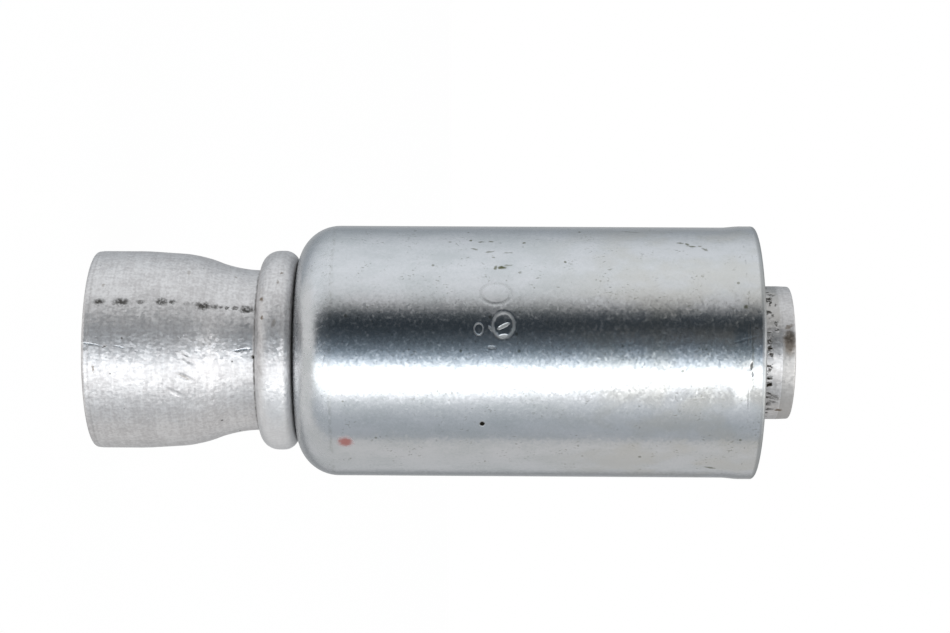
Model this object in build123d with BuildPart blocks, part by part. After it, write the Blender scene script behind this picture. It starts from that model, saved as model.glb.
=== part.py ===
from build123d import *
import os
from math import acos, cos, degrees, radians, sin, tan

# Weld-on beadlock hose fitting, in millimetres. It stands on the mouth of its weld socket,
# with the centre of that end face at the origin. Z runs up its axis to the nose of the hose insert.
# Each piece is a revolved outline, drawn in the XZ plane with the radius along X.

# Tube and hose that the fitting joins
neck_outer = 12.7
hose_bore = 10.3
hose_outer = 17.3

# Weld socket: the tube's end, expanded to take a tube of the neck's own diameter
socket_clearance = 0.15
socket_wall = 1.385
socket_depth = 6.9
mouth_bevel = 0.35
mouth_chamfer = 0.3

# Taper where the outside of the socket thins towards the shoulder
relief_length = 2.8
relief_angle = 3.6

# Shoulder from the socket down to the neck
shoulder_bend = 9.0
throat_bend = 8.5
neck_length = 0.2
neck_wall = 1.4

# Locating bead, which stands against the outside of the shell's floor
bead_height = 1.55
bead_width = 2.9
bead_lower_round = 1.42
bead_upper_round = 1.12

# Lock bead, which holds the shell's floor from inside
lock_height = 0.75
lock_width = 1.75
lock_bevel = 0.5

# Closed fold that each bead leaves in the tube's bore
fold_width = 0.7
fold_depth = 0.5

# Swage from the neck down to the hose insert
swage_land = 0.5
swage_length = 3.2

# Hose insert, its barbs and its nose
hose_stretch = 0.25
insert_wall = 1.32
insert_land = 1.6
barb_count = 5
barb_depth = 0.4
barb_crest = 0.5
barb_ramp = 3.0
barb_back_angle = 65
nose_land = 3.9
nose_overhang = 2.8
nose_bevel = 0.12
nose_chamfer = 0.25

# Crimp shell
hose_clearance = 0.3
shell_wall = 1.11
shell_length = 36.0
shell_shoulder = 3.3
hole_clearance = 0.1
hole_land = 0.2
lip_rise = 0.135
lip_length = 1.35
lip_blend = 1.05
lip_bevel = 0.2
shell_lead_in = 0.3

# Radii that follow from these sizes
neck = neck_outer / 2
neck_bore = neck - neck_wall
bead = neck + bead_height
lock = neck + lock_height
socket_bore = (neck_outer + socket_clearance) / 2
socket = socket_bore + socket_wall
insert = (hose_bore + hose_stretch) / 2
insert_bore = insert - insert_wall
barb_root = insert - barb_depth
shell_bore = (hose_outer + hose_clearance) / 2
shell = shell_bore + shell_wall
shell_hole = (neck_outer + hole_clearance) / 2
lip = shell + lip_rise

# Outside of the shoulder: two tangent arcs that bring the taper down to the neck
relief_turn = radians(relief_angle)
relief_end = socket - relief_length * tan(relief_turn)
shoulder_reach = shoulder_bend * cos(relief_turn) + throat_bend
shoulder_turn = acos((shoulder_reach - relief_end + neck) / (shoulder_bend + throat_bend))
shoulder_length = (shoulder_bend + throat_bend) * sin(shoulder_turn) - shoulder_bend * sin(relief_turn)

# Heights along the axis
neck_foot = socket_depth + shoulder_length
bead_foot = neck_foot + neck_length
floor_outside = bead_foot + bead_width
floor_inside = floor_outside + shell_wall
lock_top = floor_inside + lock_width
swage_foot = lock_top + swage_land
swage_top = swage_foot + swage_length
barb_foot = swage_top + insert_land
shell_mouth = floor_outside + shell_length
nose_end = shell_mouth + nose_overhang
nose_foot = nose_end - nose_land

# Barbs, spread evenly from the insert's plain land to its nose
barb_pitch = (nose_foot - barb_foot + barb_crest) / barb_count
barb_back = barb_depth / tan(radians(barb_back_angle))


def closed_fold(start, middle):
    """Bore down to the fold under a bead, and the fold's notch."""
    wall = Line(start, (neck_bore, middle + fold_width / 2))
    notch = Line(wall @ 1, (neck_bore + fold_depth, middle))
    return Line(notch @ 1, (neck_bore, middle - fold_width / 2))


with BuildPart() as tube_stem:
    with BuildSketch(Plane.XZ):
        with BuildLine():
            # Outside of the weld socket, from its mouth to the end of the taper
            mouth = Line((socket_bore + mouth_chamfer, 0), (socket - mouth_bevel, 0))
            rim = Line(mouth @ 1, (socket, mouth_bevel))
            skirt = Line(rim @ 1, (socket, socket_depth - relief_length))
            taper = Line(skirt @ 1, (relief_end, socket_depth))

            # Shoulder and neck
            shoulder = JernArc(taper @ 1, taper % 1, shoulder_bend, degrees(shoulder_turn - relief_turn))
            throat = JernArc(shoulder @ 1, shoulder % 1, throat_bend, -degrees(shoulder_turn))
            short_neck = Line(throat @ 1, (neck, bead_foot))

            # Locating bead, rounded on both sides of a narrow flat band
            under = Line(short_neck @ 1, (bead - bead_lower_round, bead_foot))
            lower = JernArc(under @ 1, under % 1, bead_lower_round, 90)
            band = Line(lower @ 1, (bead, floor_outside - bead_upper_round))
            upper = JernArc(band @ 1, band % 1, bead_upper_round, 90)
            above = Line(upper @ 1, (neck, floor_outside))

            # Seat of the shell's floor, and the lock bead that is staked against it
            seat = Line(above @ 1, (neck, floor_inside))
            staked = Line(seat @ 1, (shell_hole + hole_land, floor_inside))
            lock_flank = Line(staked @ 1, (lock, floor_inside + lock_bevel))
            lock_band = Line(lock_flank @ 1, (lock, lock_top - lock_bevel))
            lock_slope = Line(lock_band @ 1, (lock - lock_bevel, lock_top))
            lock_back = Line(lock_slope @ 1, (neck, lock_top))

            # Swage down to the insert
            land = Line(lock_back @ 1, (neck, swage_foot))
            swage = Line(land @ 1, (insert, swage_top))

            # Barbs: each slopes towards the nose, down to the steep back of the next
            back = swage
            for barb in range(barb_count):
                ramp_foot = barb_foot + barb * barb_pitch
                back_top = ramp_foot + barb_pitch - barb_crest
                crest = Line(back @ 1, (insert, ramp_foot))
                ramp = Line(crest @ 1, (barb_root, ramp_foot + barb_ramp))
                root = Line(ramp @ 1, (barb_root, back_top - barb_back))
                back = Line(root @ 1, (insert, back_top))

            # Nose
            nose = Line(back @ 1, (insert, nose_end - nose_bevel))
            tip = Line(nose @ 1, (insert - nose_bevel, nose_end))
            nose_face = Line(tip @ 1, (insert_bore + nose_chamfer, nose_end))
            nose_edge = Line(nose_face @ 1, (insert_bore, nose_end - nose_chamfer))

            # Bore, back down to the socket's mouth
            flow = Line(nose_edge @ 1, (insert_bore, swage_top))
            widening = Line(flow @ 1, (neck_bore, swage_foot))
            lock_fold = closed_fold(widening @ 1, (floor_inside + lock_top) / 2)
            bead_fold = closed_fold(lock_fold @ 1, (bead_foot + floor_outside) / 2)
            neck_inside = Line(bead_fold @ 1, (neck_bore, neck_foot))
            flare = Line(neck_inside @ 1, (socket_bore, socket_depth))
            socket_inside = Line(flare @ 1, (socket_bore, mouth_chamfer))
            Line(socket_inside @ 1, mouth @ 0)
        make_face()
    revolve(axis=Axis.Z)

# A shoulder radius that is too large for the floor stops short of the hole
shoulder_round = min(shell_shoulder, shell - shell_hole - hole_land)

with BuildPart() as crimp_shell:
    with BuildSketch(Plane.XZ):
        with BuildLine():
            # Outside, from the hole in the floor to the lip
            floor = Line((shell_hole, floor_outside), (shell - shoulder_round, floor_outside))
            corner = JernArc(floor @ 1, floor % 1, shoulder_round, 90)
            lip_foot = shell_mouth - lip_length
            wall = Line(corner @ 1, (shell, lip_foot - lip_blend))
            blend = Line(wall @ 1, (lip, lip_foot))
            ring = Line(blend @ 1, (lip, shell_mouth - lip_bevel))
            edge = Line(ring @ 1, (lip - lip_bevel, shell_mouth))

            # Inside, from the mouth back to the hole
            shell_face = Line(edge @ 1, (shell_bore + shell_lead_in, shell_mouth))
            lead_in = Line(shell_face @ 1, (shell_bore, shell_mouth - shell_lead_in))
            corner_inside = shoulder_round - shell_wall
            bore = Line(lead_in @ 1, (shell_bore, floor_inside + corner_inside))
            bend = JernArc(bore @ 1, bore % 1, corner_inside, -90)
            floor_top = Line(bend @ 1, (shell_hole, floor_inside))
            Line(floor_top @ 1, floor @ 0)
        make_face()
    revolve(axis=Axis.Z)

tube_stem.part.label = "tube_stem"
crimp_shell.part.label = "crimp_shell"

os.makedirs("parts", exist_ok=True)
export_step(tube_stem.part, "parts/tube_stem.step")
export_step(crimp_shell.part, "parts/crimp_shell.step")
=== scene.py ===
"""Looks of a weld-on beadlock hose fitting: a formed aluminium tube and its zinc-plated crimp shell.

Sizes are in millimetres and become metres where a mesh is made. The fitting stands on its weld socket,
with Z up its axis, and the camera looks along +Y with -X at the top of the picture.
"""

import logging
import math
from collections.abc import Callable
from dataclasses import dataclass, field
from enum import Enum

import bmesh
import bpy
from mathutils import Matrix, Vector


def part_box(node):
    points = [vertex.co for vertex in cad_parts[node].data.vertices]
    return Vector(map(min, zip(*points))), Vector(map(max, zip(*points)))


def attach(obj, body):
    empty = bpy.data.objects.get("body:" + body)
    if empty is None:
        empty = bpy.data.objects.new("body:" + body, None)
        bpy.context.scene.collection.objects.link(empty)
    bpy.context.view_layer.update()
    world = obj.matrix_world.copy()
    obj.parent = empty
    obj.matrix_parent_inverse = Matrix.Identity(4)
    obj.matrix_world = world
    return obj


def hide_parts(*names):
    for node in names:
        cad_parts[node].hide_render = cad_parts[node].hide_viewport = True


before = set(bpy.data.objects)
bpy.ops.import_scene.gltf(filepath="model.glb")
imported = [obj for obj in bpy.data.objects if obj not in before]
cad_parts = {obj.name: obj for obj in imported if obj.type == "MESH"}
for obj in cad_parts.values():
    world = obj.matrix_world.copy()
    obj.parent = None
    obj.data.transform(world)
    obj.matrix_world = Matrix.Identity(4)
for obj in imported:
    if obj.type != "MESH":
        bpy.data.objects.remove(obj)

# A millimetre and the distance below which two points are one, in metres
MM = 0.001
NEAR = MM * 1e-3
PICTURE_WIDTH = 950
SENSOR_WIDTH = 36.0
WHITE = (1.0, 1.0, 1.0, 1.0)
CENTRED = (-0.5, -0.5, -0.5)

# What feeds an input of a node, and the size of a pattern's cells round and along the axis
Feed = float | tuple[float, ...] | bpy.types.Node | bpy.types.NodeSocket
Cell = tuple[float, float]

log = logging.getLogger("fitting")
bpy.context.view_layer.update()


class Wear(Enum):
    """What a single mark on a surface is."""

    PIT = "pit"
    SCRATCH = "scratch"
    STAIN = "stain"
    DENT = "dent"
    PAINT = "paint"
    PUNCH = "punch"
    RING = "ring"


@dataclass(frozen=True)
class Mark:
    """One mark on a turned surface, placed by the arc round from the camera's side and by its height."""

    wear: Wear
    arc: float
    height: float
    half_arc: float
    half_height: float
    strength: float = 1.0
    turn: float = 0.0


@dataclass(frozen=True)
class ShadedCrevice:
    """A ring between two heights that is painted darker, as painted shade in a crease."""

    low: float
    high: float
    strength: float


@dataclass(frozen=True)
class Corner:
    """One corner of an outline that is turned about the axis, and the radius and steps that round it."""

    radius: float
    height: float
    rounding: float = 0.0
    steps: int = 5


def linear(colour: str) -> tuple[float, float, float, float]:
    """Turns an sRGB colour into the linear one that a shader takes.

    Args:
        colour: Six hex digits after a hash sign.

    Returns:
        Red, green, blue and an alpha of 1.
    """
    parts = [int(colour[i : i + 2], 16) / 255 for i in (1, 3, 5)]
    red, green, blue = [p / 12.92 if p <= 0.04045 else ((p + 0.055) / 1.055) ** 2.4 for p in parts]
    return red, green, blue, 1.0


def supply(tree: bpy.types.NodeTree, entry: bpy.types.NodeSocket, feed: Feed) -> None:
    """Sets or links one input of a node.

    Args:
        tree: The node tree.
        entry: The input.
        feed: A value, a socket, or a node whose first output feeds the input.
    """
    if isinstance(feed, bpy.types.Node):
        feed = next(socket for socket in feed.outputs if socket.enabled)
    if isinstance(feed, bpy.types.NodeSocket):
        tree.links.new(feed, entry)
    else:
        entry.default_value = feed


def add(
    tree: bpy.types.NodeTree, kind: str, feeds: dict[int | str, Feed] | None = None, **settings: str
) -> bpy.types.Node:
    """Adds one node to a tree, with its settings and what feeds its sockets.

    Args:
        tree: The node tree.
        kind: The node's type.
        feeds: What each input gets, by the input's number or name.
        **settings: The node's own properties.

    Returns:
        The new node.
    """
    made = tree.nodes.new(kind)
    for name, value in settings.items():
        setattr(made, name, value)
    for place, feed in (feeds or {}).items():
        supply(tree, made.inputs[place], feed)
    return made


def bearing(tree: bpy.types.NodeTree, way: bpy.types.Node) -> bpy.types.Node:
    """The angle about the Z axis from the camera's side towards -X, in radians.

    Args:
        tree: The node tree.
        way: The node that holds the parts of the place or direction.

    Returns:
        The node that holds the angle.
    """
    left, front = (
        add(tree, "ShaderNodeMath", {0: way.outputs[part], 1: -1.0}, operation="MULTIPLY") for part in (0, 1)
    )
    return add(tree, "ShaderNodeMath", {0: left, 1: front}, operation="ARCTAN2")


@dataclass
class TurnedSurface:
    """A metal's coordinates, patterns and marks, on a surface turned about the Z axis, in millimetres."""

    name: str
    made: bpy.types.Material = field(init=False)
    tree: bpy.types.NodeTree = field(init=False)
    spot: bpy.types.Node = field(init=False)
    radius: bpy.types.NodeSocket = field(init=False)
    height: bpy.types.NodeSocket = field(init=False)
    arc: bpy.types.Node = field(init=False)
    unrolled: bpy.types.Node = field(init=False)
    outward: bpy.types.Node = field(init=False)

    def __post_init__(self) -> None:
        """Makes the material and the coordinates that every pattern reads."""
        self.made = bpy.data.materials.new(self.name)
        self.made.use_nodes = True
        tree = self.tree = self.made.node_tree
        place = add(tree, "ShaderNodeTexCoord").outputs["Object"]
        self.spot = add(tree, "ShaderNodeVectorMath", {0: place, "Scale": 1 / MM}, operation="SCALE")
        across = add(tree, "ShaderNodeVectorMath", {0: self.spot, 1: (1.0, 1.0, 0.0)}, operation="MULTIPLY")
        self.radius = add(tree, "ShaderNodeVectorMath", {0: across}, operation="LENGTH").outputs["Value"]
        parts = add(tree, "ShaderNodeSeparateXYZ", {0: self.spot})
        self.height = parts.outputs[2]
        self.arc = self.product(bearing(tree, parts), self.radius)
        self.unrolled = add(tree, "ShaderNodeCombineXYZ", {0: self.arc, 1: self.height})
        away = add(tree, "ShaderNodeVectorMath", {0: across}, operation="NORMALIZE")
        normal = add(tree, "ShaderNodeNewGeometry").outputs["Normal"]
        facing = add(tree, "ShaderNodeVectorMath", {0: normal, 1: away}, operation="DOT_PRODUCT")
        self.outward = self.between(facing.outputs["Value"], 0.15, 0.4)

    def sum(self, *terms: tuple[Feed, float]) -> Feed:
        """Adds numbers, each times its own factor.

        Args:
            *terms: The numbers and their factors.

        Returns:
            The node that holds the sum.
        """
        total: Feed = 0.0
        for value, factor in terms:
            feeds = {0: value, 1: factor, 2: total}
            total = add(self.tree, "ShaderNodeMath", feeds, operation="MULTIPLY_ADD")
        return total

    def product(self, first: Feed, *others: Feed) -> Feed:
        """Multiplies numbers with one another.

        Args:
            first: The first number.
            *others: The rest of them.

        Returns:
            The node that holds the product.
        """
        total = first
        for value in others:
            total = add(self.tree, "ShaderNodeMath", {0: total, 1: value}, operation="MULTIPLY")
        return total

    def strongest(self, *amounts: Feed) -> Feed:
        """The largest of some numbers that are 0 or more.

        Args:
            *amounts: The numbers.

        Returns:
            The node that holds the largest.
        """
        most: Feed = 0.0
        for amount in amounts:
            most = add(self.tree, "ShaderNodeMath", {0: amount, 1: most}, operation="MAXIMUM")
        return most

    def capped(self, *terms: tuple[Feed, float]) -> bpy.types.Node:
        """The sum of numbers, each times its own factor, or 1 if that is less."""
        return add(self.tree, "ShaderNodeMath", {0: self.sum(*terms), 1: 1.0}, operation="MINIMUM")

    def between(
        self, value: Feed, low: float, high: float, start: float = 0.0, end: float = 1.0
    ) -> bpy.types.Node:
        """Runs smoothly from one value to another while a number goes from low to high.

        Args:
            value: The number.
            low: Where the run starts.
            high: Where it ends.
            start: The value at and below low.
            end: The value at and above high.

        Returns:
            The node that holds the result.
        """
        feeds = {"Value": value, "From Min": low, "From Max": high, "To Min": start, "To Max": end}
        return add(self.tree, "ShaderNodeMapRange", feeds, interpolation_type="SMOOTHSTEP")

    def band(self, low: float, high: float, soft: float) -> Feed:
        """1 between two heights, with soft ends, and 0 elsewhere."""
        rise = self.between(self.height, low - soft, low + soft)
        return self.product(rise, self.between(self.height, high - soft, high + soft, 1.0, 0.0))

    def layered(self, ground: str, *layers: tuple[Feed, str]) -> Feed:
        """Lays colours over a ground, one after the other.

        Args:
            ground: The ground's colour, as hex digits.
            *layers: How much of each colour shows, and its hex digits.

        Returns:
            The socket that holds the colour.
        """
        colour: Feed = linear(ground)
        for amount, over in layers:
            mixed = add(self.tree, "ShaderNodeMix", {0: amount, 6: colour, 7: linear(over)}, data_type="RGBA")
            colour = mixed.outputs[2]
        return colour

    def counted(self, cell: Cell, shift: float = 0.0) -> bpy.types.Node:
        """The place on the surface, counted in the cells of a pattern.

        Args:
            cell: Size of a cell round and along the axis, in millimetres.
            shift: Moves the pattern, so that two of one size differ.

        Returns:
            The node that holds the place.
        """
        across, along = cell
        feeds = {0: self.spot, 1: (1 / across, 1 / across, 1 / along), 2: (shift, shift, shift)}
        return add(self.tree, "ShaderNodeVectorMath", feeds, operation="MULTIPLY_ADD")

    def grain(self, cell: Cell, detail: float = 2.0, shift: float = 0.0) -> bpy.types.Node:
        """A noise pattern whose cells have a real size.

        Args:
            cell: Size of a cell round and along the axis, in millimetres.
            detail: How many finer layers the noise has.
            shift: Moves the pattern, so that two of one size differ.

        Returns:
            The noise node, from 0 to 1.
        """
        feeds = {"Vector": self.counted(cell, shift), "Scale": 1.0, "Detail": detail}
        return add(self.tree, "ShaderNodeTexNoise", feeds)

    def specks(self, density: float, rarity: float, size: float) -> bpy.types.Node:
        """Round specks of all sizes up to a largest, strewn at random.

        Args:
            density: How many places for a speck there are along a millimetre.
            rarity: The share of the places that stay empty.
            size: Radius of the largest speck, as a share of the room that it has.

        Returns:
            The node that is 1 in a speck and 0 elsewhere.
        """
        places = add(self.tree, "ShaderNodeTexVoronoi", {"Vector": self.spot, "Scale": density}, feature="F1")
        chance = add(self.tree, "ShaderNodeSeparateColor", {0: places.outputs["Color"]}).outputs[0]
        reach = self.between(chance, rarity, 1.0, 0.0, size)
        feeds = {0: reach, 1: places.outputs["Distance"]}
        return self.between(add(self.tree, "ShaderNodeMath", feeds, operation="SUBTRACT"), 0.0, 0.05)

    def marks(self, marks: list[Mark], wear: Wear, ragged: float, soft: float) -> Feed:
        """Draws the single marks of one kind on the outside of the surface.

        Args:
            marks: All the marks of the surface.
            wear: The kind.
            ragged: How far their edges wander, in millimetres.
            soft: How soft their edges are, as a share of their size.

        Returns:
            The node that holds how strong they are, from 0 to 1.
        """
        tree = self.tree
        noise = add(tree, "ShaderNodeTexNoise", {"Vector": self.spot, "Scale": 4.0, "Detail": 3.0})
        drift = add(tree, "ShaderNodeVectorMath", {0: noise.outputs["Color"], 1: CENTRED}, operation="ADD")
        wander = {0: drift, 1: (2 * ragged, 2 * ragged, 0.0), 2: self.unrolled}
        bent = add(tree, "ShaderNodeVectorMath", wander, operation="MULTIPLY_ADD")
        shapes = [self.shape(bent, mark, soft) for mark in marks if mark.wear is wear]
        return self.product(self.strongest(*shapes), self.outward)

    def shape(self, spot: Feed, mark: Mark, soft: float) -> bpy.types.Node:
        """Draws one mark, as an oval or as a ring.

        Args:
            spot: The arc and height of the place.
            mark: The mark.
            soft: How soft its edge is, as a share of its size.

        Returns:
            The node that holds how strong the mark is.
        """
        tree, turn = self.tree, math.radians(mark.turn)
        across = (math.cos(turn) / mark.half_arc, math.sin(turn) / mark.half_arc, 0.0)
        along = (-math.sin(turn) / mark.half_height, math.cos(turn) / mark.half_height, 0.0)
        middle = (mark.arc, mark.height, 0.0)
        away = add(tree, "ShaderNodeVectorMath", {0: spot, 1: middle}, operation="SUBTRACT")
        sideways, lengthways = (
            add(tree, "ShaderNodeVectorMath", {0: away, 1: axis}, operation="DOT_PRODUCT").outputs["Value"]
            for axis in (across, along)
        )
        local = add(tree, "ShaderNodeCombineXYZ", {0: sideways, 1: lengthways})
        reach = add(tree, "ShaderNodeVectorMath", {0: local}, operation="LENGTH").outputs["Value"]
        if mark.wear is Wear.RING:
            off = add(tree, "ShaderNodeMath", {0: reach, 1: -1.0}, operation="ADD")
            off = add(tree, "ShaderNodeMath", {0: off}, operation="ABSOLUTE")
            return self.between(off, 0.0, soft, mark.strength, 0.0)
        return self.between(reach, 1 - soft, 1 + soft, mark.strength, 0.0)

    def finished(
        self, colour: Feed, metallic: Feed, roughness: Feed, relief: Feed, cell: Cell, tilt: Feed
    ) -> bpy.types.Material:
        """Feeds the shader, and tips the normal from grain to grain, so that they catch the light one by one.

        Args:
            colour: The base colour.
            metallic: How metallic the surface is.
            roughness: How rough it is.
            relief: How high it stands, in millimetres.
            cell: Size of a grain round and along the axis, in millimetres.
            tilt: How far a grain tips, as the sideways part that its normal gains.

        Returns:
            The finished material.
        """
        tree = self.tree
        bump = add(tree, "ShaderNodeBump", {"Height": relief, "Distance": MM, "Strength": 1.0})
        grains = add(tree, "ShaderNodeTexVoronoi", {"Vector": self.counted(cell), "Scale": 1.0}, feature="F1")
        off = add(tree, "ShaderNodeVectorMath", {0: grains.outputs["Color"], 1: CENTRED}, operation="ADD")
        off = add(tree, "ShaderNodeVectorMath", {0: off, "Scale": tilt}, operation="SCALE")
        off = add(tree, "ShaderNodeVectorMath", {0: off, 1: bump}, operation="ADD")
        tipped = add(tree, "ShaderNodeVectorMath", {0: off}, operation="NORMALIZE")
        shader = tree.nodes["Principled BSDF"]
        feeds = {"Base Color": colour, "Metallic": metallic, "Roughness": roughness, "Normal": tipped}
        for name, feed in feeds.items():
            supply(tree, shader.inputs[name], feed)
        return self.made


@dataclass(frozen=True)
class DrawnAluminium:
    """Drawn and cold-formed 3003 aluminium tube, as it comes off the forming rolls.

    It is pale warm grey and satin: fine drawing marks run along it and break up the light, the rolls leave
    faint rings round it, and handling leaves pits and small dents. Shade is painted into the creases by the
    bead and at the step near the mouth and onto the lower half of the plain end, and light is painted onto
    the bead's underside. The real drawing marks and grit are too fine to show in the render, so they are
    drawn as coarse as they need to show.
    """

    name: str = "drawn_aluminium_tube"
    light: str = "#E1DFDE"
    shade: str = "#C8C5C4"
    # The darkest colour is for pits, specks and ticks, and for the painted shade in the creases
    grime_and_shade: str = "#2E2A22"
    tarnish: str = "#6B5A44"
    # The palest colour is for scratches, and for the light painted onto the bead's underside
    bare_and_lit: str = "#F2F2F2"
    # The next colour dulls the rubbed ring, and paints shade onto the lower half of the plain end
    dull_and_shaded: str = "#B2AFAB"
    roughness: float = 0.34

    # Cells of its patterns, round and along the tube
    streak: Cell = (0.3, 1.1)
    dash: Cell = (0.16, 0.34)
    ring: Cell = (3.0, 0.26)
    grit: Cell = (0.2, 0.2)
    blotch: Cell = (1.8, 2.6)
    crumb: Cell = (0.3, 0.3)
    tick: Cell = (0.3, 0.9)
    rub: Cell = (0.5, 0.4)
    grain: Cell = (0.17, 0.28)
    grain_tilt: float = 0.14
    speck_density: float = 1.1
    speck_rarity: float = 0.62
    speck_size: float = 0.13

    # How high the patterns stand, and how deep the marks go
    dash_height: float = 0.008
    ring_height: float = 0.004
    grit_height: float = 0.003
    blotch_height: float = 0.006
    pit_depth: float = 0.03
    dent_depth: float = 0.05
    scratch_depth: float = 0.01
    tick_depth: float = 0.015

    # How far from the nose's end the rubbed ring, the ring of ticks and the plain end start and stop
    rubbed: tuple[float, float] = (3.2, 1.1)
    ticked: tuple[float, float] = (2.6, 1.8)
    end_length: float = 1.04

    def material(
        self, marks: list[Mark], shaded_crevices: list[ShadedCrevice], bead: tuple[float, float], nose: float
    ) -> bpy.types.Material:
        """Makes the material.

        Args:
            marks: The single marks on the tube.
            shaded_crevices: The creases that are painted darker, as painted shade.
            bead: Heights between which the locating bead stands.
            nose: Height of the nose's end.

        Returns:
            The finished material.
        """
        on = TurnedSurface(self.name)
        streaks = on.grain(self.streak, 3.0)
        dashes = on.grain(self.dash, 2.0, 7.0)
        rings = on.grain(self.ring, 2.0, 3.0)
        grit = on.grain(self.grit, 3.0)
        blotches = on.grain(self.blotch, 3.0, 11.0)
        shaded = on.sum((streaks, 0.35), (rings, 0.35), (blotches, 0.3), (grit, 0.6))

        pits = on.product(on.marks(marks, Wear.PIT, 0.24, 0.6), on.between(grit, 0.3, 0.52, 0.4, 1.0))
        stains = on.marks(marks, Wear.STAIN, 0.2, 0.5)
        scratches = on.marks(marks, Wear.SCRATCH, 0.08, 0.45)
        dents = on.marks(marks, Wear.DENT, 0.05, 0.7)
        specks = on.specks(self.speck_density, self.speck_rarity, self.speck_size)

        # Painted shade in the creases by the bead and at the step near the mouth, broken up a little
        crease_shades = [on.product(on.band(place.low, place.high, 0.1), place.strength) for place in shaded_crevices]
        ragged = on.between(on.grain(self.crumb, 3.0, 5.0), 0.35, 0.6, 0.4, 1.0)
        grime_and_shade = on.product(on.strongest(*crease_shades), ragged)

        start, stop = (nose - away for away in self.ticked)
        ticks = on.product(on.band(start, stop, 0.1), on.between(on.grain(self.tick, 2.0, 9.0), 0.56, 0.63))
        dark = on.capped((pits, 0.85), (grime_and_shade, 1.0), (ticks, 0.75), (specks, 0.7))

        # The plain end is painted darker on its lower half, as painted shade where it mirrors the bright
        # strip, the rubbed ring is duller on its upper half, and the bead's underside is painted lighter, as
        # painted light
        end = on.band(nose - self.end_length, nose + 1.0, 0.03)
        end_shade = on.product(end, on.between(on.arc, -0.3, 1.0, 1.0, 0.3))
        start, stop = (nose - away for away in self.rubbed)
        uneven = on.between(on.grain(self.rub, 3.0, 13.0), 0.35, 0.6, 0.65, 1.0)
        rubbed = on.product(on.band(start, stop, 0.2), uneven, on.between(on.arc, 1.5, 3.6, 0.45, 1.45))
        # Light painted onto the bead's underside, a painted reflection of the bright room
        painted_bead_light = on.product(on.band(*bead, 0.1), on.between(on.arc, -3.5, -1.0, 0.5, 0.0))

        colour = on.layered(
            self.light,
            (on.between(shaded, 0.62, 0.98), self.shade),
            (on.sum((rubbed, 0.85), (end_shade, 0.72)), self.dull_and_shaded),
            (painted_bead_light, self.bare_and_lit),
            (stains, self.tarnish),
            (scratches, self.bare_and_lit),
            (dark, self.grime_and_shade),
        )
        roughness = on.sum(
            (self.roughness, 1.0),
            (blotches, 0.14),
            (dashes, 0.08),
            (dark, 0.3),
            (scratches, -0.15),
            (end, 0.06),
            (rubbed, -0.12),
        )
        relief = on.sum(
            (dashes, self.dash_height),
            (rings, self.ring_height),
            (grit, self.grit_height),
            (blotches, self.blotch_height),
            (pits, -self.pit_depth),
            (dents, -self.dent_depth),
            (scratches, -self.scratch_depth),
            (ticks, -self.tick_depth),
        )
        return on.finished(colour, 1.0, roughness, relief, self.grain, self.grain_tilt)


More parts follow.
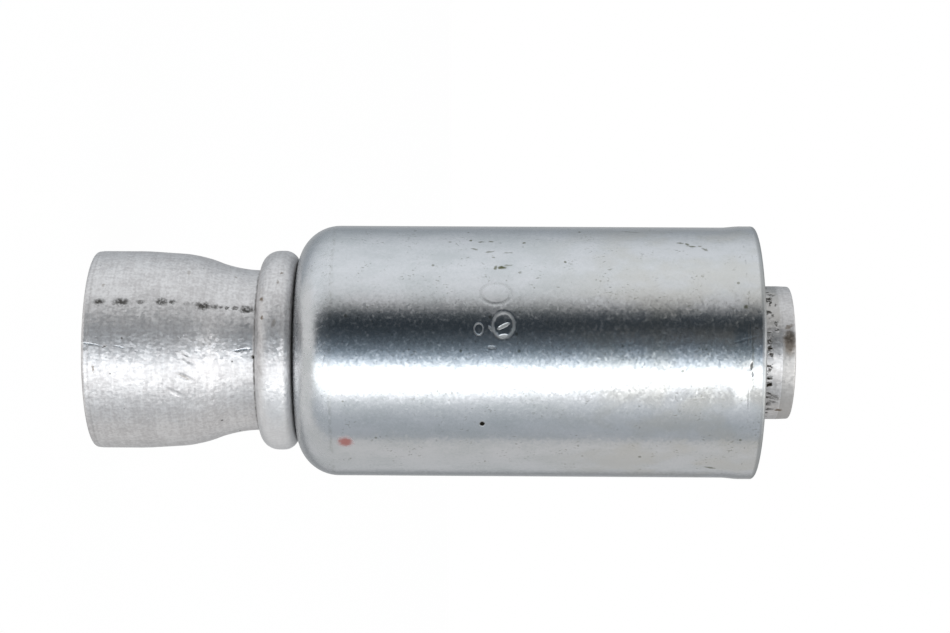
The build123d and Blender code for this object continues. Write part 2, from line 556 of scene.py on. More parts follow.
@dataclass(frozen=True)
class BrightZinc:
    """Bright zinc plate, clear chromated, over a deep-drawn steel shell.

    It mirrors the room in soft bands with a cool tint. The plate is grained, so the edges of the bands
    sparkle, and the shell carries greenish specks, punch marks, a few scratches and a dot of paint. The real
    crystals are too fine to show in the render, so they are drawn as coarse as they need to show.
    """

    name: str = "bright_zinc_plated_steel"
    light: str = "#CFD0D2"
    shade: str = "#C1C4C5"
    warm: str = "#C9C7C2"
    speck: str = "#5E5F48"
    cut: str = "#8B8D8C"
    # The darkest colour is for pits, and for the painted shade round the hole and in the lip's crease
    grime_and_shade: str = "#1F1D18"
    paint: str = "#8E3F32"
    roughness: float = 0.125

    # Cells of its patterns, round and along the shell
    crystal: Cell = (0.22, 0.22)
    peel: Cell = (0.5, 0.5)
    wave: Cell = (5.0, 10.0)
    drawing: Cell = (0.8, 3.0)
    cloud: Cell = (2.4, 3.2)
    pepper: Cell = (0.17, 0.24)
    pepper_patch: Cell = (1.8, 1.4)
    edge_mark: Cell = (0.5, 0.3)
    crease_break: Cell = (0.8, 0.8)
    mottle: Cell = (0.26, 0.26)
    flake: Cell = (0.2, 0.2)
    flake_tilt: float = 0.024
    worn_tilt: float = 0.008
    bold_tilt: float = 0.05
    speck_density: float = 0.75
    speck_rarity: float = 0.35
    speck_size: float = 0.12

    # How high the patterns stand, and how deep the marks go
    crystal_height: float = 0.002
    peel_height: float = 0.0018
    wave_height: float = 0.006
    paint_height: float = 0.01
    punch_depth: float = 0.03
    pit_depth: float = 0.03
    scratch_depth: float = 0.004

    # Heights between which the plate goes from fresh to worn
    fresh: float = 32.0
    worn: float = 44.0

    # Heights above the floor between which the tool left its edge and the dull shoulder ends, the radii
    # between which the painted shade round the hole ends, and the length of the cut at the mouth
    tool_edge: tuple[float, float] = (2.9, 3.15)
    shoulder: tuple[float, float] = (2.6, 3.5)
    floor_shade_edge: tuple[float, float] = (6.8, 7.3)
    cut_length: float = 0.35

    def material(self, marks: list[Mark], floor: float, lip: float, mouth: float) -> bpy.types.Material:
        """Makes the material.

        Args:
            marks: The single marks on the shell.
            floor: Height of the outside of the shell's floor.
            lip: Height at which the lip starts.
            mouth: Height of the shell's open end.

        Returns:
            The finished material.
        """
        on = TurnedSurface(self.name)
        crystals = on.grain(self.crystal, 3.0)
        peel = on.grain(self.peel, 2.0, 4.0)
        wave = on.grain(self.wave, 1.0, 8.0)
        drawn = on.grain(self.drawing, 2.0, 6.0)
        clouds = on.grain(self.cloud, 3.0, 12.0)
        bold = on.between(on.grain(self.mottle, 1.5, 31.0), 0.45, 0.72)
        toned = on.sum((drawn, 0.3), (clouds, 0.6), (crystals, 0.3))
        worn = on.between(on.height, self.fresh, self.worn)

        pits = on.marks(marks, Wear.PIT, 0.05, 0.3)
        stains = on.marks(marks, Wear.STAIN, 0.15, 0.5)
        paint = on.marks(marks, Wear.PAINT, 0.2, 0.5)
        scratches = on.marks(marks, Wear.SCRATCH, 0.06, 0.6)
        bars = on.marks(marks, Wear.PUNCH, 0.06, 0.4)
        circles = on.marks(marks, Wear.RING, 0.05, 0.24)
        punches = on.strongest(circles, bars)

        specks = on.specks(self.speck_density, self.speck_rarity, self.speck_size)
        patches = on.between(on.grain(self.pepper_patch, 2.0, 21.0), 0.5, 0.66)
        pepper = on.product(on.between(on.grain(self.pepper, 2.0, 15.0), 0.6, 0.68), patches)
        start, stop = (floor + above for above in self.tool_edge)
        broken = on.between(on.grain(self.edge_mark, 2.0, 19.0), 0.4, 0.6)
        tool_edge = on.product(on.band(start, stop, 0.12), broken)

        # Painted shade on the shell's floor round the hole, where it meets the bead
        low = on.between(on.height, floor + 0.02, floor + 0.2, 1.0, 0.0)
        hole_floor_shade = on.product(low, on.between(on.radius, *self.floor_shade_edge, 1.0, 0.0))
        # A faint broken dark line in the crease where the lip starts: painted shade
        faint = on.between(on.grain(self.crease_break, 2.0, 17.0), 0.55, 0.65, 0.0, 0.25)
        lip_crease_shade = on.product(on.band(lip - 0.06, lip + 0.04, 0.04), faint)
        dark = on.capped((pits, 1.0), (hole_floor_shade, 0.9), (lip_crease_shade, 1.0))
        cut = on.band(mouth - self.cut_length, mouth + 1.0, 0.1)
        start, stop = (floor + above for above in self.shoulder)
        shoulder = on.between(on.height, start, stop, 1.0, 0.0)

        colour = on.layered(
            self.light,
            (on.between(toned, 0.45, 0.8), self.shade),
            (on.product(worn, on.between(clouds, 0.4, 0.65, 0.1, 0.7)), self.warm),
            (on.product(specks, 0.55), self.speck),
            (on.sum((pepper, 0.42), (tool_edge, 0.2)), self.speck),
            (on.sum((stains, 1.0), (punches, 0.3)), self.speck),
            (on.product(cut, 0.6), self.cut),
            (on.product(paint, 0.85), self.paint),
            (dark, self.grime_and_shade),
        )
        metallic = on.sum((paint, -0.8), (1.0, 1.0))
        roughness = on.sum(
            (self.roughness, 1.0),
            (clouds, 0.05),
            (crystals, 0.05),
            (worn, 0.01),
            (shoulder, 0.06),
            (dark, 0.35),
            (paint, 0.3),
            (cut, 0.2),
            (punches, 0.4),
            (bold, 0.065),
        )
        relief = on.sum(
            (crystals, self.crystal_height),
            (peel, self.peel_height),
            (wave, self.wave_height),
            (punches, -self.punch_depth),
            (pits, -self.pit_depth),
            (scratches, -self.scratch_depth),
            (paint, self.paint_height),
        )
        tilt = on.sum((self.flake_tilt, 1.0), (worn, self.worn_tilt), (bold, self.bold_tilt))
        return on.finished(colour, metallic, roughness, relief, self.flake, tilt)


@dataclass
class TurnedPiece:
    """A piece of revolution about the Z axis, drawn as an outline and spun."""

    name: str
    node: str
    slot: str
    turns: int = 288
    smooth_angle: float = 35.0
    piece: bpy.types.Object | None = field(default=None, init=False)

    def outline(self) -> list[Corner]:
        """The corners of the closed outline, in order.

        Returns:
            The corners, which each kind of piece works out from its sizes.
        """
        raise NotImplementedError

    def build(self) -> None:
        """Draws the outline, rounds its corners and spins it into a closed solid."""
        corners = self.outline()
        places = [Vector((c.radius * MM, 0.0, c.height * MM)) for c in corners]
        bpy.ops.object.select_all(action="DESELECT")
        bpy.ops.mesh.primitive_plane_add(size=MM)
        self.piece = bpy.context.object
        self.piece.name = self.piece.data.name = self.name
        bpy.ops.object.mode_set(mode="EDIT")
        bpy.ops.mesh.select_all(action="SELECT")
        bpy.ops.mesh.merge(type="CENTER")
        bpy.ops.transform.translate(value=places[0])
        for start, end in zip(places, places[1:]):
            bpy.ops.mesh.extrude_region_move(TRANSFORM_OT_translate={"value": end - start})
        self.select(lambda v: (v.co - places[0]).length < NEAR or (v.co - places[-1]).length < NEAR)
        bpy.ops.mesh.edge_face_add()
        for index, corner in enumerate(corners):
            if corner.rounding > 0:
                self.round_corner(places, index, corner)
        bpy.ops.mesh.select_all(action="SELECT")
        bpy.ops.mesh.spin(steps=self.turns, angle=math.tau, center=(0, 0, 0), axis=(0, 0, 1))
        bpy.ops.mesh.select_all(action="SELECT")
        bpy.ops.mesh.remove_doubles(threshold=NEAR)
        bpy.ops.mesh.normals_make_consistent(inside=False)
        self.finish_form()
        bpy.ops.object.mode_set(mode="OBJECT")
        bpy.ops.object.shade_smooth_by_angle(angle=math.radians(self.smooth_angle))

    def select(self, wanted: Callable[[bmesh.types.BMVert], bool]) -> None:
        """Selects the vertices of the piece that a test accepts.

        Args:
            wanted: Whether a vertex is selected.
        """
        bpy.ops.mesh.select_mode(type="VERT")
        bpy.ops.mesh.select_all(action="DESELECT")
        shape = bmesh.from_edit_mesh(self.piece.data)
        for vertex in shape.verts:
            vertex.select = wanted(vertex)
        shape.select_flush_mode()
        bmesh.update_edit_mesh(self.piece.data)

    def round_corner(self, places: list[Vector], index: int, corner: Corner) -> None:
        """Rounds one corner of the outline by a vertex bevel of the same radius.

        Args:
            places: All the corners' places.
            index: Which corner it is.
            corner: The corner itself.
        """
        here = places[index]
        before = (here - places[index - 1]).normalized()
        after = (places[(index + 1) % len(places)] - here).normalized()
        reach = corner.rounding * math.tan(before.angle(after) / 2)
        self.select(lambda v: (v.co - here).length < NEAR)
        bpy.ops.mesh.bevel(
            offset=reach * MM,
            offset_type="OFFSET",
            segments=corner.steps,
            profile=0.5,
            affect="VERTICES",
            clamp_overlap=False,
        )

    def finish_form(self) -> None:
        """Shapes what isn't round, in edit mode. Most pieces have nothing of the kind."""

    def material(self) -> bpy.types.Material:
        """The piece's finish.

        Returns:
            The material, which each kind of piece makes.
        """
        raise NotImplementedError

    def dress(self) -> None:
        """Gives the piece its finish, sets it on its body and puts it in place of its CAD node."""
        self.piece.data.materials.append(self.material())
        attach(self.piece, "root")
        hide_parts(self.node)


@dataclass
class TubeStem(TurnedPiece):
    """The tube: weld socket, shoulder, neck with its two beads, swage, barbs and nose."""

    neck: float = 6.35
    neck_bore: float = 4.95
    socket: float = 7.81
    socket_bore: float = 6.425
    socket_depth: float = 6.9
    mouth_chamfer: float = 0.3
    mouth_round: float = 0.32
    mouth_inset: float = 0.05
    mouth_band: float = 0.5
    band_inset: float = 0.02
    band_step: float = 0.08
    relief_length: float = 2.8
    relief_angle: float = 3.6
    shoulder_bend: float = 8.9
    throat_bend: float = 8.4
    bend_share: float = 0.98
    shoulder_length: float = 6.0577
    neck_length: float = 0.2
    bead: float = 7.9
    bead_width: float = 2.9
    bead_lower_round: float = 1.42
    bead_upper_round: float = 1.12
    foot_round: float = 0.22
    seat_length: float = 1.11
    lock: float = 7.1
    lock_width: float = 1.75
    lock_round: float = 0.5
    fold_width: float = 0.7
    fold_depth: float = 0.5
    swage_land: float = 0.5
    swage_length: float = 3.2
    insert: float = 5.275
    insert_bore: float = 3.955
    insert_land: float = 1.6
    barb_count: int = 5
    barb_depth: float = 0.4
    barb_crest: float = 0.5
    barb_ramp: float = 3.0
    barb_back: float = 0.19
    nose_land: float = 3.9
    nose_overhang: float = 2.8
    nose_band: float = 0.95
    nose_taper: float = 0.04
    nose_chamfer: float = 0.25
    shell_length: float = 36.0

    def heights(self) -> dict[str, float]:
        """Heights of the beads, the insert and the nose.

        Returns:
            Each height by name, in millimetres.
        """
        neck_foot = self.socket_depth + self.shoulder_length
        bead_foot = neck_foot + self.neck_length
        floor_outside = bead_foot + self.bead_width
        floor_inside = floor_outside + self.seat_length
        lock_top = floor_inside + self.lock_width
        swage_foot = lock_top + self.swage_land
        swage_top = swage_foot + self.swage_length
        nose_end = floor_outside + self.shell_length + self.nose_overhang
        return {
            "neck_foot": neck_foot,
            "bead_foot": bead_foot,
            "floor_outside": floor_outside,
            "floor_inside": floor_inside,
            "lock_top": lock_top,
            "swage_foot": swage_foot,
            "swage_top": swage_top,
            "nose_end": nose_end,
        }

    def outline(self) -> list[Corner]:
        """The corners of the tube's section, from its mouth up the outside and down the bore.

        Returns:
            The corners in order.
        """
        at = self.heights()
        relief = math.radians(self.relief_angle)
        relief_end = self.socket - self.relief_length * math.tan(relief)
        reach = self.shoulder_bend * math.cos(relief) + self.throat_bend
        steep = math.acos((reach - relief_end + self.neck) / (self.shoulder_bend + self.throat_bend))
        first = self.shoulder_bend * math.tan((steep - relief) / 2)
        second = self.throat_bend * math.tan(steep / 2)
        bend_radius = relief_end - first * math.sin(relief)
        bend_height = self.socket_depth + first * math.cos(relief)
        nose_end, band_foot = at["nose_end"], at["nose_end"] - self.nose_band
        barb_foot = at["swage_top"] + self.insert_land
        barb_pitch = (nose_end - self.nose_land - barb_foot + self.barb_crest) / self.barb_count

        corners = [
            Corner(self.socket_bore + self.mouth_chamfer, 0.0, 0.1, 3),
            Corner(self.socket - self.mouth_inset, 0.0, self.mouth_round, 8),
            Corner(self.socket - self.band_inset, self.mouth_band, 0.15, 3),
            Corner(self.socket, self.mouth_band + self.band_step, 0.3, 3),
            Corner(self.socket, self.socket_depth - self.relief_length, 18.0, 6),
            Corner(bend_radius, bend_height, self.shoulder_bend * self.bend_share, 16),
            Corner(self.neck, at["neck_foot"] - second, self.throat_bend * self.bend_share, 16),
            Corner(self.neck, at["bead_foot"], self.foot_round, 4),
            Corner(self.bead, at["bead_foot"], self.bead_lower_round, 14),
            Corner(self.bead, at["floor_outside"], self.bead_upper_round, 14),
            Corner(self.neck, at["floor_outside"]),
            Corner(self.neck, at["floor_inside"]),
            Corner(self.lock, at["floor_inside"], self.lock_round, 6),
            Corner(self.lock, at["lock_top"], self.lock_round, 6),
            Corner(self.neck, at["lock_top"], 0.1, 3),
            Corner(self.neck, at["swage_foot"], 2.6, 6),
            Corner(self.insert, at["swage_top"], 3.0, 6),
        ]
        for barb in range(self.barb_count):
            foot = barb_foot + barb * barb_pitch
            back = foot + barb_pitch - self.barb_crest
            root = self.insert - self.barb_depth
            corners += [
                Corner(self.insert, foot, 1.0, 3),
                Corner(root, foot + self.barb_ramp, 1.0, 3),
                Corner(root, back - self.barb_back, 0.12, 3),
                Corner(self.insert, back, 0.08, 3),
            ]
        bottom = self.insert_bore + self.nose_chamfer
        corners += [
            Corner(self.insert, band_foot, 0.6, 3),
            Corner(self.insert - self.nose_taper, nose_end, 0.16, 5),
            Corner(bottom, nose_end, 0.05, 2),
            Corner(self.insert_bore, nose_end - self.nose_chamfer, 0.2, 3),
            Corner(self.insert_bore, at["swage_top"], 3.0, 6),
            Corner(self.neck_bore, at["swage_foot"], 2.6, 6),
        ]
        for low, high in (("floor_inside", "lock_top"), ("bead_foot", "floor_outside")):
            middle = (at[low] + at[high]) / 2
            corners += [
                Corner(self.neck_bore, middle + self.fold_width / 2, 0.2, 3),
                Corner(self.neck_bore + self.fold_depth, middle),
                Corner(self.neck_bore, middle - self.fold_width / 2, 0.2, 3),
            ]
        corners += [
            Corner(self.neck_bore, at["neck_foot"], 5.0, 8),
            Corner(self.socket_bore, self.socket_depth, 4.0, 8),
            Corner(self.socket_bore, self.mouth_chamfer, 0.1, 2),
        ]
        return corners

    def marks(self) -> list[Mark]:
        """The pits, dents and scratches that the tube carries on the camera's side.

        Returns:
            The marks, listed one by one.
        """
        pit, scratch, stain, dent = Wear.PIT, Wear.SCRATCH, Wear.STAIN, Wear.DENT
        return [
            Mark(pit, 3.87, 1.25, 0.24, 0.38),
            Mark(pit, 3.88, 2.95, 0.25, 0.6),
            Mark(pit, 3.88, 4.4, 0.17, 0.26, 0.7),
            Mark(pit, 3.9, 6.05, 0.25, 0.42),
            Mark(pit, 3.9, 6.85, 0.16, 0.2, 0.9),
            Mark(pit, 3.76, 8.1, 0.16, 0.32, 0.35),
            Mark(pit, 3.6, 9.15, 0.3, 0.55),
            Mark(pit, 3.52, 10.0, 0.2, 0.26, 0.8),
            Mark(pit, 3.52, 10.5, 0.12, 0.14, 0.8),
            Mark(pit, 3.47, 10.95, 0.12, 0.12, 0.9),
            Mark(pit, 3.46, 11.55, 0.18, 0.18, 0.8),
            Mark(pit, 3.33, 12.45, 0.28, 0.5),
            Mark(pit, 0.36, 1.9, 0.08, 0.17, turn=-20.0),
            Mark(pit, -0.45, 13.0, 0.12, 0.2, 0.8),
            Mark(stain, 4.2, 13.7, 0.16, 0.12, 0.8),
            Mark(stain, 2.6, 13.8, 0.16, 0.12, 0.8),
            Mark(stain, -1.4, 0.95, 0.3, 0.05, 0.7),
            Mark(scratch, 0.5, 0.75, 0.06, 0.75, turn=8.0),
            Mark(scratch, 0.3, 2.95, 0.06, 0.4, turn=12.0),
            Mark(dent, -0.7, 8.15, 0.16, 0.42, 0.8, turn=35.0),
            Mark(dent, -0.25, 8.0, 0.14, 0.3, 0.7, turn=40.0),
            Mark(dent, -2.0, 7.85, 0.16, 0.55, turn=25.0),
            Mark(stain, -2.0, 7.85, 0.08, 0.5, 0.45, turn=25.0),
            Mark(dent, -3.3, 7.1, 0.16, 0.5, 0.8, turn=30.0),
            Mark(scratch, 0.1, 12.2, 0.09, 0.65, turn=-8.0),
            Mark(pit, 0.98, 52.75, 0.2, 0.24),
            Mark(pit, 0.43, 52.74, 0.16, 0.22),
            Mark(pit, -0.03, 52.9, 0.13, 0.16),
            Mark(pit, -1.28, 52.77, 0.13, 0.14, 0.8),
            Mark(pit, -1.93, 52.72, 0.16, 0.2, 0.8),
            Mark(pit, -2.45, 52.75, 0.18, 0.2),
            Mark(pit, -3.37, 52.9, 0.1, 0.35, 0.8, turn=20.0),
            Mark(pit, -3.78, 52.95, 0.1, 0.4, 0.8, turn=15.0),
            Mark(pit, -4.47, 52.85, 0.2, 0.26),
            Mark(pit, -5.14, 53.0, 0.14, 0.35, 0.8),
            Mark(pit, 4.42, 53.02, 0.3, 0.08),
            Mark(pit, 4.19, 53.39, 0.14, 0.1, 0.7),
            Mark(pit, 2.54, 53.35, 0.08, 0.16),
            Mark(pit, 1.86, 53.32, 0.1, 0.14, 0.9),
            Mark(pit, 1.38, 52.99, 0.08, 0.1, 0.7),
            Mark(stain, -5.28, 53.77, 0.14, 0.28),
            Mark(stain, 0.85, 54.35, 0.95, 0.46, 0.72),
            Mark(pit, 1.3, 54.35, 0.5, 0.42, 0.7),
            Mark(stain, 2.15, 54.3, 0.12, 0.35, 0.6, turn=-25.0),
            Mark(pit, 5.5, 53.2, 0.16, 0.3, 0.7, turn=20.0),
            Mark(pit, 4.9, 53.1, 0.2, 0.12, 0.6),
            Mark(pit, 3.08, 53.15, 0.16, 0.1, 0.7, turn=30.0),
            Mark(pit, 2.28, 53.33, 0.16, 0.08, 0.7),
            Mark(pit, -3.68, 53.3, 0.1, 0.4, 0.7, turn=30.0),
            Mark(pit, -4.2, 53.2, 0.12, 0.4, 0.7, turn=20.0),
            Mark(stain, 6.87, 15.07, 0.13, 0.1, 0.7),
            Mark(stain, 5.85, 14.87, 0.16, 0.12, 0.5),
            Mark(stain, 2.2, 14.7, 0.3, 0.14, 0.35, turn=20.0),
            Mark(stain, 5.47, 1.4, 0.14, 0.1, 0.4),
            Mark(stain, 6.98, 7.8, 0.3, 0.12, 0.35),
            Mark(stain, 6.97, 11.34, 0.12, 0.12, 0.5),
        ]

    def material(self) -> bpy.types.Material:
        """The tube's finish, with painted shade in the creases on both sides of the bead and round the mouth.

        Returns:
            The drawn aluminium, with this tube's marks.
        """
        at = self.heights()
        # Creases painted darker as shade: above the bead against the shell, below it at the neck, and at the
        # step near the mouth
        shaded_crevices = [
            ShadedCrevice(at["floor_outside"] - 0.04, at["floor_outside"] + 0.4, 0.8),
            ShadedCrevice(at["bead_foot"] - 0.14, at["bead_foot"] + 0.02, 0.75),
            ShadedCrevice(self.mouth_band - 0.02, self.mouth_band + 0.04, 0.3),
        ]
        bead = (at["bead_foot"], at["floor_outside"])
        return DrawnAluminium().material(self.marks(), shaded_crevices, bead, at["nose_end"])


@dataclass
class CrimpShell(TurnedPiece):
    """The shell: a drawn cup with a round shoulder, a hole in its floor and a slightly raised lip."""

    hole: float = 6.4
    floor_outside: float = 16.058
    wall: float = 1.11
    length: float = 36.0
    bore: float = 8.8
    outside: float = 9.91
    shoulder: float = 3.3
    lip_rise: float = 0.1
    lip_length: float = 1.35
    lip_blend: float = 1.05
    lip_groove: float = 0.012
    lip_start: float = 0.01
    lip_edge: float = 0.1
    lip_round: float = 0.28
    lead_in: float = 0.3
    bulge: float = 0.03
    bulge_reach: float = 5.0
    bulge_core: tuple[float, float, float] = (0.2, 0.3, 0.8)

    def outline(self) -> list[Corner]:
        """The corners of the shell's section, from the hole up the outside and down the inside.

        Returns:
            The corners in order.
        """
        foot, mouth = self.floor_outside, self.floor_outside + self.length
        lip_foot = mouth - self.lip_length
        lip = self.outside + self.lip_rise
        return [
            Corner(self.hole, foot),
            Corner(self.outside, foot, self.shoulder * 0.999, 24),
            Corner(self.outside, lip_foot - self.lip_blend, 4.0, 5),
            Corner(lip - self.lip_start, lip_foot - self.lip_edge, 0.6, 3),
            Corner(lip - self.lip_groove, lip_foot, 0.05, 2),
            Corner(lip, lip_foot + self.lip_edge, 0.4, 3),
            Corner(lip, mouth, self.lip_round, 7),
            Corner(self.bore + self.lead_in, mouth, 0.08, 2),
            Corner(self.bore, mouth - self.lead_in, 0.3, 3),
            Corner(self.bore, foot + self.wall, self.shoulder - self.wall, 12),
            Corner(self.hole, foot + self.wall),
        ]

    def finish_form(self) -> None:
        """Pulls the lip out a little on its lower side, where the real one is not quite round."""
        middle = (self.floor_outside + self.length - self.lip_length / 2) * MM
        deep, aside, along = (size * MM for size in self.bulge_core)
        outside = self.outside * MM - deep
        self.select(lambda v: v.co.x > outside and abs(v.co.y) < aside and abs(v.co.z - middle) < along)
        bpy.ops.transform.translate(
            value=(self.bulge * MM, 0, 0),
            use_proportional_edit=True,
            proportional_edit_falloff="SMOOTH",
            proportional_size=self.bulge_reach * MM,
        )

    def marks(self) -> list[Mark]:
        """The paint dot, pit, scratches and plain punch marks on the camera's side.

        Returns:
            The marks, listed one by one.
        """
        pit, scratch, stain = Wear.PIT, Wear.SCRATCH, Wear.STAIN
        return [
            Mark(Wear.PAINT, -7.6, 20.2, 0.5, 0.56),
            Mark(pit, -5.7, 30.65, 0.2, 0.2),
            Mark(stain, 3.65, 50.5, 0.16, 0.2, 0.8),
            Mark(Wear.RING, 4.65, 31.65, 0.88, 1.15, 0.24),
            Mark(Wear.RING, 2.15, 32.23, 1.0, 0.8, 0.5),
            Mark(Wear.PUNCH, 1.26, 32.2, 0.15, 0.36, 0.9, turn=-6.0),
            Mark(Wear.PUNCH, 2.06, 32.23, 0.13, 0.44, 1.2, turn=-28.0),
            Mark(Wear.RING, 1.82, 30.36, 0.46, 0.34, 0.45),
            Mark(Wear.PUNCH, 1.85, 31.28, 0.11, 0.28, 0.45, turn=48.0),
            Mark(Wear.PUNCH, 0.42, 31.35, 0.14, 0.3, 0.28),
            Mark(scratch, 1.15, 50.55, 0.09, 1.1, 0.8, turn=-16.0),
            Mark(stain, 12.08, 29.5, 0.12, 0.09, 0.6),
            Mark(stain, 10.47, 29.69, 0.12, 0.1, 0.9),
            Mark(stain, 10.24, 30.5, 0.09, 0.24, 0.7),
            Mark(stain, 10.3, 31.25, 0.1, 0.2, 0.7),
            Mark(stain, 9.2, 30.0, 0.1, 0.26, 0.6, turn=10.0),
            Mark(stain, 10.21, 28.09, 0.09, 0.12, 0.5),
            Mark(stain, 8.86, 31.2, 0.09, 0.34, 0.6, turn=-12.0),
            Mark(stain, 8.74, 32.6, 0.08, 0.4, 0.4),
            Mark(stain, 8.17, 31.45, 0.1, 0.1, 0.5),
            Mark(stain, 7.03, 31.6, 0.22, 0.1, 0.8, turn=20.0),
            Mark(stain, 7.08, 32.1, 0.14, 0.3),
            Mark(stain, 7.3, 32.6, 0.1, 0.3, 0.5),
            Mark(stain, 6.59, 33.47, 0.1, 0.12, 0.5),
            Mark(stain, 10.11, 33.8, 0.12, 0.12, 0.9),
            Mark(stain, 7.7, 36.95, 0.1, 0.1, 0.7),
            Mark(stain, 12.35, 38.16, 0.12, 0.1, 0.9),
            Mark(stain, 10.2, 45.85, 0.1, 0.26, 0.7, turn=10.0),
            Mark(stain, 10.0, 46.4, 0.13, 0.2, 0.8, turn=60.0),
            Mark(stain, 9.7, 46.75, 0.1, 0.3, 0.8, turn=10.0),
            Mark(stain, 9.75, 47.35, 0.12, 0.14, 0.6),
            Mark(stain, 9.3, 47.7, 0.1, 0.3, 0.6, turn=40.0),
            Mark(stain, 12.4, 42.2, 0.1, 0.7, 0.4, turn=15.0),
            Mark(stain, -11.0, 48.3, 0.14, 0.4, 0.8, turn=20.0),
            Mark(pit, -0.85, 50.86, 0.3, 0.09, 0.7, turn=8.0),
            Mark(pit, -1.5, 50.95, 0.16, 0.1, 0.5, turn=-8.0),
            # A long faint dark line along the lip's crease: painted shade
            Mark(stain, 0.2, 50.95, 1.5, 0.08, 0.35),
            Mark(stain, -2.2, 51.0, 0.5, 0.05, 0.5),
        ]

    def material(self) -> bpy.types.Material:
        """The shell's finish."""
        mouth = self.floor_outside + self.length
        return BrightZinc().material(self.marks(), self.floor_outside, mouth - self.lip_length, mouth)


class StudioWall(Enum):
    """The room round the fitting, from below the camera and round by its top.

    Each place holds its angle from the camera towards -X in degrees, how bright it is, and how blue.
    """

    BACK_LEFT = (-180.0, 0.55, 0.0)
    BACK_GAP_LOW = (-163.0, 0.45, 0.3)
    BACK_GAP = (-152.0, 0.3, 0.5)
    BACK_GAP_HIGH = (-138.0, 0.66, 0.2)
    LOWER_WALL = (-100.0, 0.73, 0.0)
    LOWER_EDGE = (-88.0, 0.7, 0.0)
    LOWER_STEP = (-86.0, 0.51, 0.7)
    LOWER_PANEL = (-67.0, 0.56, 0.8)
    LOWER_GLOW = (-57.0, 0.68, 0.6)
    STRIP_START = (-49.0, 0.88, 0.5)
    STRIP_RISE = (-42.0, 1.25, 0.3)
    STRIP_LOW = (-34.0, 2.6, 0.2)
    STRIP_HIGH = (-17.0, 2.7, 0.3)
    STRIP_FALL = (-9.0, 0.95, 1.7)
    STRIP_END = (-4.0, 0.45, 2.1)
    GAP_START = (2.0, 0.2, 2.4)
    GAP_LOW = (9.0, 0.105, 2.6)
    GAP = (20.0, 0.033, 3.4)
    GAP_HIGH = (29.0, 0.033, 3.4)
    GAP_EDGE = (35.0, 0.09, 1.4)
    UPPER_START = (42.0, 0.4, 0.1)
    UPPER_RISE = (48.0, 0.72, 0.1)
    UPPER_GLOW = (58.0, 0.95, 0.3)
    UPPER_WALL = (80.0, 1.04, 0.4)
    UPPER_FADE = (112.0, 0.9, 0.5)
    UPPER_BACK = (146.0, 0.41, 1.0)
    BACK_RIGHT = (180.0, 0.55, 0.0)


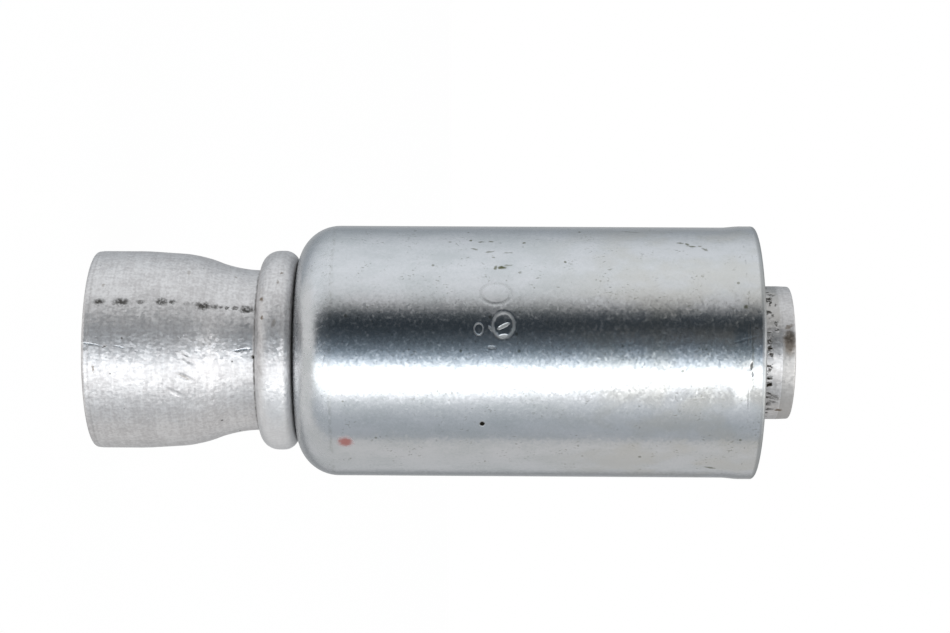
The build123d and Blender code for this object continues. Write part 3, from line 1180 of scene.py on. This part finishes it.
@dataclass
class Studio:
    """A pale floor, a soft lamp and a light tent with a dark gap, a bright strip and a few cards."""

    floor_radius: float = 1.6
    floor_colour: str = "#FBFBFA"
    floor_roughness: float = 0.9
    glow: float = 0.975
    tent: float = 0.86
    blueness: float = 0.09
    band_reach: float = 44.0
    band_end: float = 62.0
    warm_card: tuple[float, float, float] = (0.085, 0.072, 0.058)
    warm_place: tuple[float, float] = (10.0, 20.0)
    pale_card: tuple[float, float, float] = (0.22, 0.235, 0.245)
    pale_place: tuple[float, float] = (-12.0, -3.0)
    flag: float = 0.62
    flag_place: tuple[float, float] = (-44.0, -28.0)
    card_softness: float = 7.0
    card_rise: tuple[float, float] = (1.0, 3.2)
    lamp_power: float = 3.0
    lamp_size: float = 1.0
    lamp_place: tuple[float, float, float] = (0.28, -0.5, 0.75)

    def build(self) -> None:
        """Makes the floor, the lamp and the tent."""
        self.build_floor()
        self.build_lamp()
        self.build_tent()

    def build_floor(self) -> None:
        """Makes the floor, white to the camera apart from the fitting's shadow.

        The metal doesn't mirror it, so that the tent's bands run on below the horizon.
        """
        bpy.ops.object.select_all(action="DESELECT")
        bpy.ops.mesh.primitive_circle_add(vertices=96, radius=self.floor_radius, fill_type="NGON")
        floor = bpy.context.object
        floor.name = floor.data.name = "studio_floor"
        paper = bpy.data.materials.new("matt_white_paper")
        paper.use_nodes = True
        tree = paper.node_tree
        shader = tree.nodes["Principled BSDF"]
        shader.inputs["Base Color"].default_value = linear(self.floor_colour)
        shader.inputs["Roughness"].default_value = self.floor_roughness
        shader.inputs["Specular IOR Level"].default_value = 0.0
        light = add(tree, "ShaderNodeEmission", {"Color": WHITE, "Strength": 1.0})
        seen = add(tree, "ShaderNodeLightPath").outputs["Is Camera Ray"]
        share = add(tree, "ShaderNodeMath", {0: seen, 1: self.glow}, operation="MULTIPLY")
        mixed = add(tree, "ShaderNodeMixShader", {0: share, 1: shader, 2: light})
        tree.links.new(mixed.outputs[0], tree.nodes["Material Output"].inputs["Surface"])
        floor.data.materials.append(paper)
        floor.visible_glossy = False
        floor.visible_shadow = False

    def build_lamp(self) -> None:
        """Hangs a large soft lamp above and in front of the fitting."""
        lamp = bpy.data.lights.new("soft_lamp", "AREA")
        lamp.energy = self.lamp_power
        lamp.shape = "DISK"
        lamp.size = self.lamp_size
        hung = bpy.data.objects.new("soft_lamp", lamp)
        bpy.context.scene.collection.objects.link(hung)
        hung.location = self.lamp_place
        hung.rotation_euler = Vector(self.lamp_place).to_track_quat("Z", "Y").to_euler()

    def build_tent(self) -> None:
        """Makes the world: bands of light by direction, white where the camera sees it."""
        world = bpy.data.worlds.new("light_tent")
        bpy.context.scene.world = world
        world.use_nodes = True
        tree = world.node_tree
        tree.nodes.clear()
        way = add(tree, "ShaderNodeSeparateXYZ", {0: add(tree, "ShaderNodeTexCoord").outputs["Generated"]})
        angle = bearing(tree, way)
        share = add(tree, "ShaderNodeMapRange", {"Value": angle, "From Min": -math.pi, "From Max": math.pi})
        ramp = add(tree, "ShaderNodeValToRGB", {0: share})
        stops = ramp.color_ramp.elements
        for number, wall in enumerate(StudioWall):
            degrees, level, blue = wall.value
            place = degrees / 360 + 0.5
            stop = stops[number] if number < 2 else stops.new(place)
            stop.position = place
            stop.color = (level * (1 - self.blueness * blue), level, level * (1 + self.blueness * blue), 1.0)
        rise = add(tree, "ShaderNodeMath", {0: way.outputs[2]}, operation="ARCSINE")
        flag = self.patch(tree, angle, rise, self.flag_place)
        kept = add(tree, "ShaderNodeMath", {0: flag, 1: -self.flag, 2: 1.0}, operation="MULTIPLY_ADD")
        bands = add(tree, "ShaderNodeVectorMath", {0: ramp, "Scale": kept}, operation="SCALE")
        for place, colour in ((self.warm_place, self.warm_card), (self.pale_place, self.pale_card)):
            card = self.patch(tree, angle, rise, place)
            card = add(tree, "ShaderNodeVectorMath", {0: colour, "Scale": card}, operation="SCALE")
            bands = add(tree, "ShaderNodeVectorMath", {0: bands, 1: card}, operation="ADD")
        steep = add(tree, "ShaderNodeMath", {0: rise}, operation="ABSOLUTE")
        reach, end = math.radians(self.band_reach), math.radians(self.band_end)
        feeds = {"Value": steep, "From Min": reach, "From Max": end}
        plain = add(tree, "ShaderNodeMapRange", feeds, interpolation_type="SMOOTHSTEP")
        level = (self.tent, self.tent, self.tent, 1.0)
        tent = add(tree, "ShaderNodeMix", {0: plain, 6: bands, 7: level}, data_type="RGBA")
        seen = add(tree, "ShaderNodeLightPath").outputs["Is Camera Ray"]
        shown = add(tree, "ShaderNodeMix", {0: seen, 6: tent.outputs[2], 7: WHITE}, data_type="RGBA")
        back = add(tree, "ShaderNodeBackground", {"Color": shown.outputs[2], "Strength": 1.0})
        add(tree, "ShaderNodeOutputWorld", {"Surface": back})

    def patch(self, tree: bpy.types.NodeTree, angle: Feed, rise: Feed, place: tuple[float, float]) -> Feed:
        """A soft-edged patch of the room that only the nose half of the fitting mirrors.

        Args:
            tree: The world's node tree.
            angle: The angle of a direction from the camera towards -X, in radians.
            rise: How far the direction rises, in radians.
            place: The angles at which the patch starts and ends, in degrees.

        Returns:
            The node that is 1 in the patch and 0 round it.
        """
        (low, high), soft = place, self.card_softness
        edges = ((angle, low - soft, low + soft), (angle, high + soft, high - soft), (rise, *self.card_rise))
        inside: Feed = 1.0
        for value, outer, inner in edges:
            feeds = {"Value": value, "From Min": math.radians(outer), "From Max": math.radians(inner)}
            edge = add(tree, "ShaderNodeMapRange", feeds, interpolation_type="SMOOTHSTEP")
            inside = add(tree, "ShaderNodeMath", {0: edge, 1: inside}, operation="MULTIPLY")
        return inside


@dataclass
class PhotographCamera:
    """The camera of the photograph, held on its side, so that the fitting lies across the picture."""

    across: float = -2.75
    back: float = -179.0
    height: float = 31.2
    droop: float = 0.38
    tilt: float = 0.29
    focal_pixels: float = 2250.0
    clip: tuple[float, float] = (0.01, 20.0)

    def build(self) -> None:
        """Makes the camera and makes it the scene's own."""
        data = bpy.data.cameras.new("photograph")
        data.sensor_width = SENSOR_WIDTH
        data.lens = self.focal_pixels / PICTURE_WIDTH * SENSOR_WIDTH
        data.clip_start, data.clip_end = self.clip
        camera = bpy.data.objects.new("photograph", data)
        bpy.context.scene.collection.objects.link(camera)
        droop, tilt = math.radians(self.droop), math.radians(self.tilt)
        ahead = Vector((0.0, math.cos(droop), -math.sin(droop)))
        top = Vector((-1.0, 0.0, 0.0))
        side = ahead.cross(top)
        right = math.cos(tilt) * side + math.sin(tilt) * top
        up = math.cos(tilt) * top - math.sin(tilt) * side
        turn = Matrix((right, up, -ahead)).transposed()
        place = Vector((self.across, self.back, self.height)) * MM
        camera.matrix_world = Matrix.Translation(place) @ turn.to_4x4()
        bpy.context.scene.camera = camera


def main() -> None:
    """Builds the studio, the camera and the fitting's two pieces."""
    logging.basicConfig(level=logging.INFO, format="%(name)s: %(message)s")
    PhotographCamera().build()
    Studio().build()
    pieces = [
        TubeStem("formed_tube_stem", "tube_stem", "stem_aluminium"),
        CrimpShell("drawn_crimp_shell", "crimp_shell", "shell_zinc"),
    ]
    for made in pieces:
        made.build()
        made.dress()
        low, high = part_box(made.node)
        size = made.piece.dimensions / MM
        log.info(
            "%s: %d faces, %.2f x %.2f x %.2f mm, in place of a node of %.2f mm",
            made.name,
            len(made.piece.data.polygons),
            *size,
            (high - low).z / MM,
        )
    bpy.context.scene.view_settings.view_transform = "Standard"


if __name__ == "__main__":
    main()
